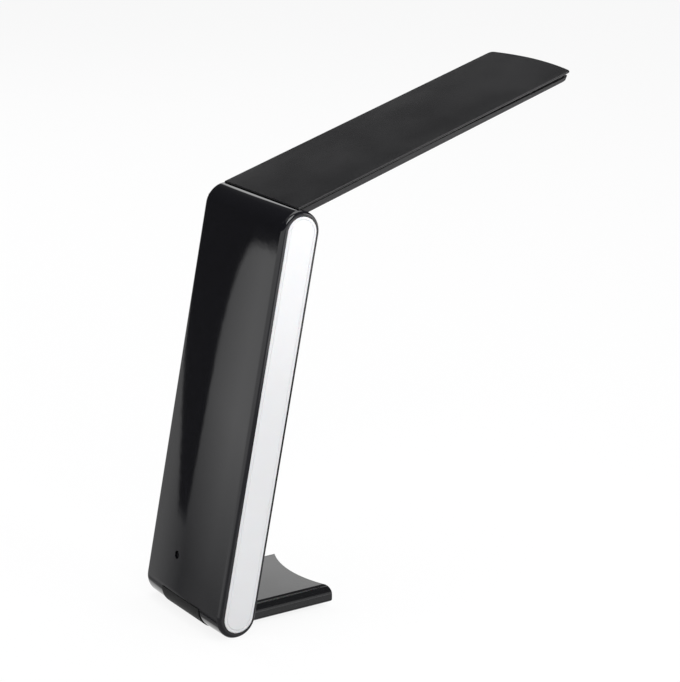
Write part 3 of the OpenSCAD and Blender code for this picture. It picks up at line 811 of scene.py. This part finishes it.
# ---------- foot ----------
FOOT_TOP = 12 * MM
FOOT_UNDER = 2.4 * MM
FOOT_HALF = 31 * MM
FOOT_REACH = 60 * MM
FOOT_ARC = 68 * MM
FOOT_ROUND = 1.8 * MM               # rounding of the lower edges
POCKET_DEPTH = 1.3 * MM
POCKET_INSET = (3.5 * MM, 1.9 * MM)  # from the sides and from the tip
NOTCH_HALF = 6.9 * MM
NOTCH_REACH = 31.2 * MM


def foot_loop(height, inset, tip_inset, steps=32):
    half = FOOT_HALF - inset
    reach = FOOT_REACH - tip_inset
    centre = reach + FOOT_ARC
    swing = math.asin(half / FOOT_ARC)
    loop = [(FOOT_AXIS.x, -half), (FOOT_REACH / 2, -half)]
    for i in range(steps + 1):
        a = -swing + 2 * swing * i / steps
        loop.append((centre - FOOT_ARC * math.cos(a), FOOT_ARC * math.sin(a)))
    loop += [(FOOT_REACH / 2, half), (FOOT_AXIS.x, half)]
    return [Vector((x, y, height)) for x, y in loop]


def build_foot(scene_sizes):
    edge = scene_sizes.foot_edge
    loops = [foot_loop(FOOT_UNDER + POCKET_DEPTH, *POCKET_INSET),
             foot_loop(FOOT_UNDER, *POCKET_INSET),
             *(foot_loop(FOOT_UNDER + FOOT_ROUND * (1 - math.cos(a)),
                         FOOT_ROUND * (1 - math.sin(a)), 0.3 * MM * (1 - math.sin(a)))
               for a in (math.pi / 2 * i / 6 for i in range(7)))]
    for i in range(11):
        a = math.pi / 2 * i / 10
        loops.append(foot_loop(FOOT_TOP - edge * (1 - math.sin(a)), edge * (1 - math.cos(a)),
                               0.35 * MM * ease(0.75, 1.0, i / 10)))
    plate = make_piece("foot_casing", *stacked(loops), "foot", "foot_gloss", ("foot_shell",),
                       sharp=40)
    notch = cutter_from(*stacked(box_loops(
        lambda x, y, z: Vector((x, y, z)), -15 * MM, NOTCH_REACH, INLET_OFFSET - NOTCH_HALF,
        INLET_OFFSET + NOTCH_HALF, -20 * MM, 30 * MM)))
    # The exact solver leaves a face across the notch
    cut(plate, [notch], 40, "MANIFOLD")
    knuckle_r = FOOT_AXIS.z - FOOT_UNDER
    for name, ends in (("foot_knuckle_near", (-FOOT_HALF, INLET_OFFSET - NOTCH_HALF)),
                       ("foot_knuckle_far", (INLET_OFFSET + NOTCH_HALF, FOOT_HALF))):
        make_piece(name, *stacked(rod_loops(foot_point, 0, 0, ends, knuckle_r, 0.4 * MM)),
                   "foot", "foot_gloss")


# ---------- finishes of the carried-over parts ----------
def build_finishes():
    slots = {part["node"]: part["material_slot"] for part in frame["record"]["subparts"]}
    for name, node in frame["nodes"].items():
        node.data.materials.clear()
        node.data.materials.append(finish(slots[name]))


# ---------- studio ----------
CAMERA_AZIMUTH = math.radians(-32.987)
CAMERA_ELEVATION = math.radians(16.819)
CAMERA_RIGHT = 77.90 * MM
CAMERA_UP = 150.87 * MM
CAMERA_BACK = 1330.25 * MM
CAMERA_LENS = 126.75
SOFT_FILL = 0.55
# (name, place, target, side in m, watts, hidden from the camera and from glossy skins)
LAMPS = (("key", (-0.3, -1.4, 1.3), (0.05, 0, 0.12), 0.9, 12, False),
         ("top", (0.3, 0.2, 1.6), (0.05, 0, 0.1), 1.2, 10, False),
         ("near_side", (0.14, -0.26, 0.36), (0.03, -0.04, 0.2), 0.1, 0.42, True),
         ("far_side", (0.1, 1.4, 1.1), (0.05, 0, 0.12), 0.9, 6, True))
WALL_REACH = 25.0


def aim(thing, target):
    thing.rotation_euler = (target - thing.location).to_track_quat("-Z", "Y").to_euler()


def area_light(name, place, target, size, power):
    data = bpy.data.lights.new(name, "AREA")
    data.shape = "RECTANGLE"
    data.size = size
    data.size_y = size
    data.energy = power
    lamp = bpy.data.objects.new(name, data)
    bpy.context.scene.collection.objects.link(lamp)
    lamp.location = place
    aim(lamp, Vector(target))
    return lamp


def add_camera():
    data = bpy.data.cameras.new("camera")
    data.lens = CAMERA_LENS
    data.sensor_width = 36
    data.sensor_height = 36
    data.sensor_fit = "AUTO"
    data.clip_start = 0.05
    camera = bpy.data.objects.new("camera", data)
    bpy.context.scene.collection.objects.link(camera)
    a, e = CAMERA_AZIMUTH, CAMERA_ELEVATION
    back = Vector((math.sin(a) * math.cos(e), -math.cos(a) * math.cos(e), math.sin(e)))
    right = Vector((math.cos(a), math.sin(a), 0))
    up = back.cross(right)
    camera.location = right * CAMERA_RIGHT + up * CAMERA_UP + back * CAMERA_BACK
    aim(camera, camera.location - back)
    bpy.context.scene.camera = camera


class Direction:
    """The way to a point of the studio's round wall, with masks for parts of it."""

    def __init__(self, g):
        self.g = g
        place = g.node("ShaderNodeTexCoord", output=3)
        way = g.node("ShaderNodeVectorMath", {"operation": "NORMALIZE"}, **{"0": place})
        split = g.node("ShaderNodeSeparateXYZ", Vector=way)
        self.x, self.y, self.z = (Socket(g, out) for out in split.link.node.outputs)

    def past(self, azimuth):
        """Sine of the angle past an azimuth in degrees, anticlockwise from above."""
        a = math.radians(azimuth)
        return self.y * math.cos(a) - self.x * math.sin(a)

    def above(self, elevation):
        return self.z - math.sin(math.radians(elevation))

    def after(self, azimuth, soft):
        """0 up to an azimuth in degrees, then 1 over a soft edge. The next three are alike."""
        return self.g.band(self.past(azimuth), 0.0, soft)

    def before(self, azimuth, soft):
        return self.g.band(self.past(azimuth) * -1.0, 0.0, soft)

    def over(self, elevation, soft):
        return self.g.band(self.above(elevation), 0.0, soft)

    def under(self, elevation, soft):
        return self.g.band(self.above(elevation) * -1.0, 0.0, soft)

    def round_box(self, side, level, radius, soft):
        """1 where side and level are positive, with a rounded corner between them."""
        g = self.g
        across = ((side * -1.0) + radius).clamp(0.0, 9.0)
        down = ((level * -1.0) + radius).clamp(0.0, 9.0)
        reach = g.node("ShaderNodeMath", {"operation": "SQRT"},
                       **{"0": across * across + down * down})
        return 1 - g.band(reach, radius - soft, radius + soft)


# What stands on the round wall: azimuths and elevations of its edges, in degrees
MAIN_BOX_START, MAIN_BOX_TOP, MAIN_BOX_LOW = 123.3, -1.75, -5.6
RIM_BOX_END, RIM_BOX_TOP = 118.0, -5.4
SHORE_END, TABLE_END, TABLE_TOP, TABLE_FADE = 121.6, 125.0, -8.9, -17.0
NEAR_TABLE_START, NEAR_TABLE_TOP, NEAR_TABLE_FADE = -100.0, -19.5, -26.0
BACKDROP_SIDES, BACKDROP_HEIGHTS = (34.0, 82.0), (12.0, 25.0)
CEILING_HEIGHTS, CEILING_END = (44.0, 74.0), -70.0
NEAR_BOX_SIDES, NEAR_BOX_HEIGHTS = (-66.0, -36.0), (-17.4, 10.0)
NEAR_BOX_SPLIT = (-57.5, -12.8)
FAR_WALL_SIDES, FAR_WALL_TOP = (50.0, 108.0), 6.0
FRONT_TABLE_SIDES, FRONT_TABLE_TOP = (-28.0, 50.0), -8.0
HAZE_END = 80.0
# How bright each is
FAR_WALL_LEVEL, FRONT_TABLE_LEVEL, NEAR_TABLE_LEVEL = 0.9, 0.8, 0.6
RIM_BOX_LEVEL, BACKDROP_LEVEL, CEILING_LEVEL = 0.25, 1.3, 0.5
NEAR_BOX_LEVEL, HEAD_SIDE_GAIN, FOOT_SIDE_LOSS = 1.5, 2.4, 0.9
HAZE_LEVEL, HAZE_RISE = 0.04, 0.05


def studio_wall(g):
    """The dark studio that glossy skins see: white table, backdrop and soft boxes in it."""
    look = Direction(g)
    side = look.past(MAIN_BOX_START)
    main_box = look.round_box(side, look.above(MAIN_BOX_TOP) * -1.0 + side * 0.14, 0.058, 0.0035)
    main_box = main_box * (0.52 + 0.42 * g.band(side, 0.0, 0.09))
    main_box = main_box * (1.0 - 0.66 * look.under(MAIN_BOX_LOW, 0.075))
    rim_box = look.round_box(look.past(RIM_BOX_END) * -1.0, look.above(RIM_BOX_TOP) * -1.0,
                             0.03, 0.012)
    shore = (look.past(SHORE_END) * -1.0).clamp(0.0, 0.2) * 0.8
    table = g.band(look.above(TABLE_TOP) * -1.0 + shore, 0.0, 0.007)
    table = table * (0.15 + 0.38 * look.before(TABLE_END, 0.10))
    table = table * (1.0 - 0.8 * look.under(TABLE_FADE, 0.15))
    near_table = look.after(NEAR_TABLE_START, 0.2) * look.under(NEAR_TABLE_TOP, 0.015)
    near_table = near_table * (1.0 - 0.8 * look.under(NEAR_TABLE_FADE, 0.15))
    backdrop = look.before(BACKDROP_SIDES[1], 0.05) * look.after(BACKDROP_SIDES[0], 0.05)
    backdrop = backdrop * look.under(BACKDROP_HEIGHTS[1], 0.03)
    backdrop = backdrop * look.over(BACKDROP_HEIGHTS[0], 0.1)
    ceiling = look.over(CEILING_HEIGHTS[0], 0.12) * look.under(CEILING_HEIGHTS[1], 0.05)
    ceiling = ceiling * look.before(CEILING_END, 0.3)
    haze = HAZE_LEVEL + HAZE_RISE * g.band(look.past(HAZE_END) * -1.0, -0.05, 0.35)
    near_box = g.band(look.above(NEAR_BOX_HEIGHTS[0]), -0.015, 0.02)
    near_box = near_box * look.under(NEAR_BOX_HEIGHTS[1], 0.05)
    near_box = near_box * look.before(NEAR_BOX_SIDES[1], 0.05) * look.after(NEAR_BOX_SIDES[0], 0.02)
    # Above the split's elevation the box is brighter past its azimuth and dimmer before it
    high = look.over(NEAR_BOX_SPLIT[1], 0.02)
    head_side = high * look.after(NEAR_BOX_SPLIT[0], 0.02)
    foot_side = high * (1 - look.after(NEAR_BOX_SPLIT[0], 0.02))
    near_level = NEAR_BOX_LEVEL + head_side * HEAD_SIDE_GAIN - foot_side * FOOT_SIDE_LOSS
    far_wall = look.after(FAR_WALL_SIDES[0], 0.05) * look.before(FAR_WALL_SIDES[1], 0.12)
    far_wall = far_wall * look.under(FAR_WALL_TOP, 0.1) * FAR_WALL_LEVEL
    front_table = look.after(FRONT_TABLE_SIDES[0], 0.1) * look.before(FRONT_TABLE_SIDES[1], 0.1)
    front_table = front_table * look.under(FRONT_TABLE_TOP, 0.08) * FRONT_TABLE_LEVEL
    light = main_box
    for part in (far_wall, front_table, near_box * near_level, rim_box * RIM_BOX_LEVEL, table,
                 near_table * NEAR_TABLE_LEVEL, backdrop * BACKDROP_LEVEL,
                 ceiling * CEILING_LEVEL, haze):
        light = light.maximum(part)
    return g.node("ShaderNodeEmission", Color=g.grey(light), Strength=1.0)


def add_walls():
    """A round wall that only glossy rays see, so that it neither lights nor hides anything."""
    build = bmesh.new()
    bmesh.ops.create_icosphere(build, subdivisions=4, radius=WALL_REACH)
    mesh = bpy.data.meshes.new("studio_walls")
    build.to_mesh(mesh)
    build.free()
    walls = bpy.data.objects.new("studio_walls", mesh)
    bpy.context.scene.collection.objects.link(walls)
    mesh.materials.append(material("Studio walls", studio_wall))
    for ray in ("camera", "diffuse", "transmission", "volume_scatter", "shadow"):
        setattr(walls, "visible_" + ray, False)


def add_world():
    world = bpy.data.worlds.new("studio")
    bpy.context.scene.world = world
    world.use_nodes = True
    g = Graph(world.node_tree)
    soft = g.node("ShaderNodeBackground", Color=(0.75, 0.75, 0.77), Strength=SOFT_FILL)
    white = g.node("ShaderNodeBackground", Color=(1, 1, 1), Strength=1.0)
    g.node("ShaderNodeOutputWorld",
           Surface=g.node("ShaderNodeMixShader", **{"0": seen_directly(g), "1": soft, "2": white}))


def seen_directly(g):
    """1 on a ray from the camera, or one that a shiny or clear skin sends on."""
    rays = g.node("ShaderNodeLightPath", output=0).link.node.outputs
    kinds = [Socket(g, rays[kind])
             for kind in ("Is Camera Ray", "Is Glossy Ray", "Is Transmission Ray")]
    return (kinds[0] + kinds[1] + kinds[2]).clamp(0.0, 1.0)


def white_floor(g):
    glow = g.node("ShaderNodeEmission", Color=(1, 1, 1), Strength=1.0)
    matt = g.node("ShaderNodeBsdfDiffuse", Color=tuple(colours().floor))
    return g.node("ShaderNodeMixShader", **{"0": seen_directly(g) * 0.88, "1": matt, "2": glow})


def add_floor():
    mesh = bpy.data.meshes.new("floor")
    reach = 6.0
    mesh.from_pydata([(-reach, -reach, DESK), (reach, -reach, DESK), (reach, reach, DESK),
                      (-reach, reach, DESK)], [], [[0, 1, 2, 3]])
    floor = bpy.data.objects.new("floor", mesh)
    bpy.context.scene.collection.objects.link(floor)
    mesh.materials.append(material("Pale floor", white_floor))
    floor.visible_glossy = False


def build_stage():
    bpy.context.scene.view_settings.view_transform = "Standard"
    add_camera()
    add_world()
    add_floor()
    add_walls()
    for name, place, target, size, power, hidden in LAMPS:
        lamp = area_light(name, place, target, size, power)
        if hidden:
            lamp.visible_camera = lamp.visible_glossy = False


# ---------- add-on ----------
class LAMP_OT_post(bpy.types.Operator):
    """Build the shell, the white side strips and the hinge ears"""
    bl_idname = "lamp.post"
    bl_label = "Post"

    def execute(self, context):
        build_post(context.scene.lamp_sizes)
        return {"FINISHED"}


class LAMP_OT_controls(bpy.types.Operator):
    """Build the battery door with its finger grip, and the push button"""
    bl_idname = "lamp.controls"
    bl_label = "Door and button"

    def execute(self, context):
        build_controls()
        return {"FINISHED"}


class LAMP_OT_head(bpy.types.Operator):
    """Build the head's cover, tray and hinge barrel"""
    bl_idname = "lamp.head"
    bl_label = "Head"

    def execute(self, context):
        build_head(context.scene.lamp_sizes)
        return {"FINISHED"}


class LAMP_OT_foot(bpy.types.Operator):
    """Build the foot with its hollow tip and knuckles"""
    bl_idname = "lamp.foot"
    bl_label = "Foot"

    def execute(self, context):
        build_foot(context.scene.lamp_sizes)
        return {"FINISHED"}


class LAMP_OT_finishes(bpy.types.Operator):
    """Give every carried-over part its finish"""
    bl_idname = "lamp.finishes"
    bl_label = "Finishes"

    def execute(self, context):
        build_finishes()
        return {"FINISHED"}


class LAMP_OT_stage(bpy.types.Operator):
    """Set up the camera, floor, world and lights"""
    bl_idname = "lamp.stage"
    bl_label = "Stage"

    def execute(self, context):
        build_stage()
        return {"FINISHED"}


OPERATORS = (LAMP_OT_stage, LAMP_OT_finishes, LAMP_OT_post, LAMP_OT_controls,
             LAMP_OT_head, LAMP_OT_foot)


class LAMP_PT_panel(bpy.types.Panel):
    """Lists the steps that build the lamp"""
    bl_idname = "LAMP_PT_panel"
    bl_label = "Folding desk lamp"
    bl_space_type = "VIEW_3D"
    bl_region_type = "UI"
    bl_category = "Lamp"

    def draw(self, context):
        for operator in OPERATORS:
            self.layout.operator(operator.bl_idname)


CLASSES = (LampSizes, LampColours) + OPERATORS + (LAMP_PT_panel,)


def register():
    for item in CLASSES:
        bpy.utils.register_class(item)
    bpy.types.Scene.lamp_sizes = PointerProperty(type=LampSizes)
    bpy.types.Scene.lamp_colours = PointerProperty(type=LampColours)


def unregister():
    del bpy.types.Scene.lamp_colours
    del bpy.types.Scene.lamp_sizes
    for item in reversed(CLASSES):
        bpy.utils.unregister_class(item)


def main():
    register()
    bpy.ops.lamp.stage()
    bpy.ops.lamp.finishes()
    bpy.ops.lamp.post()
    bpy.ops.lamp.controls()
    bpy.ops.lamp.head()
    bpy.ops.lamp.foot()


if __name__ == "__main__":
    main()
